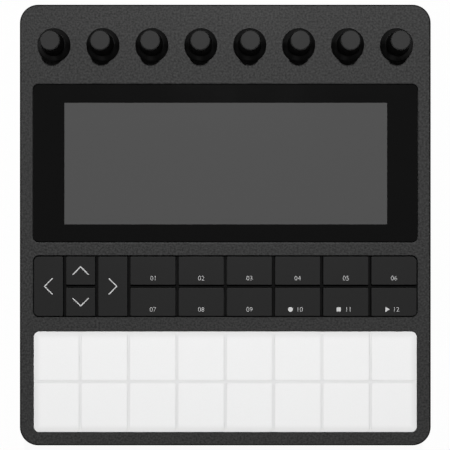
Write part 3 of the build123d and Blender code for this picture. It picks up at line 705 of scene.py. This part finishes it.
def add_chevron(bm, reach, stroke, turn):
    """Adds an arrow head of two strokes round the origin. It points to +X before it is turned."""
    half = stroke / math.sqrt(8)
    tip = reach / 2
    corners = (
        (tip + 2 * half, 0), (tip - reach + half, reach + half), (tip - reach - half, reach - half),
        (tip - 2 * half, 0), (tip - reach - half, half - reach), (tip - reach + half, -reach - half),
    )
    verts = [bm.verts.new((x, y, 0)) for x, y in corners]
    bm.faces.new(verts)
    bmesh.ops.bevel(
        bm,
        geom=verts,
        offset=stroke * CHEVRON_ROUNDING,
        offset_type="OFFSET",
        segments=CHEVRON_SEGMENTS,
        profile=0.5,
        affect="VERTICES",
        material=-1,
    )
    bmesh.ops.rotate(bm, verts=bm.verts, cent=(0, 0, 0), matrix=Matrix.Rotation(turn, 3, "Z"))


print("print helpers ready")

# %% Print the arrows
CHEVRON_REACH_MM = 4.05
CHEVRON_STROKE_MM = 0.5
# Full turns from an arrow that points to the right
ARROW_TURNS = {"key_right": 0.0, "key_up": 0.25, "key_left": 0.5, "key_down": 0.75}


def key_top_centre(name):
    """The middle of a key's upper face."""
    low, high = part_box(name)
    return Vector(((low.x + high.x) / 2, (low.y + high.y) / 2, high.z))


for name, turn in ARROW_TURNS.items():
    bm = bmesh.new()
    add_chevron(bm, CHEVRON_REACH_MM * MM, CHEVRON_STROKE_MM * MM, turn * math.tau)
    raise_print(bm)
    bmesh.ops.translate(bm, verts=bm.verts, vec=key_top_centre(name))
    piece_from(bm, f"{name}_sign", name, (finishes["print_ink"],))
print(f"{len(ARROW_TURNS)} arrows")

# %% Print the numbers and the transport signs
FUNCTION_KEYS = 12
NUMBER_HEIGHT_MM = 2.3
NUMBER_DROP_MM = 3.75
SIGN_SHIFT_MM = 3.6
SIGN_NUMBER_SHIFT_MM = 1.3
DOT_RADIUS_MM = 1.2
DOT_SEGMENTS = 24
SQUARE_SIDE_MM = 2.1
TRIANGLE_RADIUS_MM = 1.45


def add_dot(bm):
    """A round sign for recording."""
    bmesh.ops.create_circle(bm, cap_ends=True, radius=DOT_RADIUS_MM * MM, segments=DOT_SEGMENTS)


def add_square(bm):
    """A square sign for stopping."""
    bmesh.ops.create_grid(bm, x_segments=1, y_segments=1, size=SQUARE_SIDE_MM / 2 * MM)


def add_triangle(bm):
    """A triangle for playing, with its point to the right."""
    made = bmesh.ops.create_circle(bm, cap_ends=True, radius=TRIANGLE_RADIUS_MM * MM, segments=3)
    bmesh.ops.rotate(bm, verts=made["verts"], cent=(0, 0, 0), matrix=Matrix.Rotation(-math.tau / 4, 3, "Z"))


signs = {10: add_dot, 11: add_square, 12: add_triangle}
for number in range(1, FUNCTION_KEYS + 1):
    name = f"function_key_{number:02d}"
    bm = bmesh.new()
    shift = 0.0
    if number in signs:
        signs[number](bm)
        bmesh.ops.translate(bm, verts=bm.verts, vec=(-SIGN_SHIFT_MM * MM, 0, 0))
        shift = SIGN_NUMBER_SHIFT_MM * MM
    add_text(bm, f"{number:02d}", NUMBER_HEIGHT_MM * MM, (shift, 0))
    raise_print(bm)
    bmesh.ops.translate(bm, verts=bm.verts, vec=key_top_centre(name) - Vector((0, NUMBER_DROP_MM * MM, 0)))
    piece_from(bm, f"{name}_sign", name, (finishes["print_ink"],))
print(f"{FUNCTION_KEYS} numbers, {len(signs)} transport signs")

# %% [markdown]
# ## Rear plate
# The plugs go in at the rear. Every jack has a plated ring round its hole, which is spun from a small section
# like the knobs, then turned to face the rear. Small numbers over the jacks and the usual sign over the power
# button tell them apart. Seen from behind, left and right change places, so the matrix that turns the signs
# to the rear also turns X round.

# %% Ring the jacks and print their numbers
RING_SECTION_MM = ((1.95, 0.0), (1.95, 0.12), (2.1, 0.3), (2.55, 0.35), (2.85, 0.2), (2.95, 0.0))
RING_STEPS = 48
RING_SHARP_DEG = 50
REAR_NUMBER_MM = 1.5
REAR_SIGN_RISE_MM = 4.65

facing_rear = Matrix(((-1, 0, 0, 0), (0, 0, 1, 0), (0, 1, 0, 0), (0, 0, 0, 1)))
nose_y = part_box("rear_jacks")[1].y
plate_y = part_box("rear_panel")[1].y
ring_section = [(radius * MM, height * MM) for radius, height in (*RING_SECTION_MM, RING_SECTION_MM[0])]
jacks = [mount for mount in frame["record"]["mounts"] if mount["kind"] == "bore"]
for number, jack in enumerate(jacks, start=1):
    jack_x, _, jack_z = jack["pos_m"]
    bm = bmesh.new()
    spin_section(bm, ring_section, RING_STEPS)
    bmesh.ops.transform(bm, verts=bm.verts, matrix=facing_rear)
    bmesh.ops.translate(bm, verts=bm.verts, vec=(jack_x, nose_y, jack_z))
    piece_from(bm, f"jack_ring_{number}", "case", (finishes["socket_metal"],), RING_SHARP_DEG)
    bm = bmesh.new()
    add_text(bm, str(number), REAR_NUMBER_MM * MM, (0, 0))
    raise_print(bm)
    bmesh.ops.transform(bm, verts=bm.verts, matrix=facing_rear)
    bmesh.ops.translate(bm, verts=bm.verts, vec=(jack_x, plate_y, jack_z + REAR_SIGN_RISE_MM * MM))
    piece_from(bm, f"jack_sign_{number}", "case", (finishes["print_ink"],))
print(f"{len(jacks)} jacks ringed and numbered")

# %% Print the sign over the power button
POWER_RADII_MM = (0.62, 0.84)
POWER_OPENING_DEG = 80
POWER_BAR_MM = (0.22, 0.85)
POWER_STEPS = 30

low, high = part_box("power_button")
bm = bmesh.new()
opening = math.radians(POWER_OPENING_DEG)
start = math.tau / 4 + opening / 2
towards_start = (math.cos(start), math.sin(start), 0)
ends = [bm.verts.new([radius * MM * part for part in towards_start]) for radius in POWER_RADII_MM]
edge = bm.edges.new(ends)
bmesh.ops.spin(
    bm,
    geom=ends + [edge],
    cent=(0, 0, 0),
    axis=(0, 0, 1),
    dvec=(0, 0, 0),
    angle=math.tau - opening,
    steps=POWER_STEPS,
)
# A square of one millimetre is stretched into the bar, a quarter of which stands out of the ring
bar = bmesh.ops.create_grid(bm, x_segments=1, y_segments=1, size=MM / 2)["verts"]
bmesh.ops.scale(bm, verts=bar, vec=(*POWER_BAR_MM, 1))
bmesh.ops.translate(bm, verts=bar, vec=(0, (POWER_RADII_MM[1] - POWER_BAR_MM[1] / 4) * MM, 0))
raise_print(bm)
bmesh.ops.transform(bm, verts=bm.verts, matrix=facing_rear)
sign_place = ((low.x + high.x) / 2, plate_y, (low.z + high.z) / 2 + REAR_SIGN_RISE_MM * MM)
bmesh.ops.translate(bm, verts=bm.verts, vec=sign_place)
piece_from(bm, "power_sign", "case", (finishes["print_ink"],))
print("power sign printed")
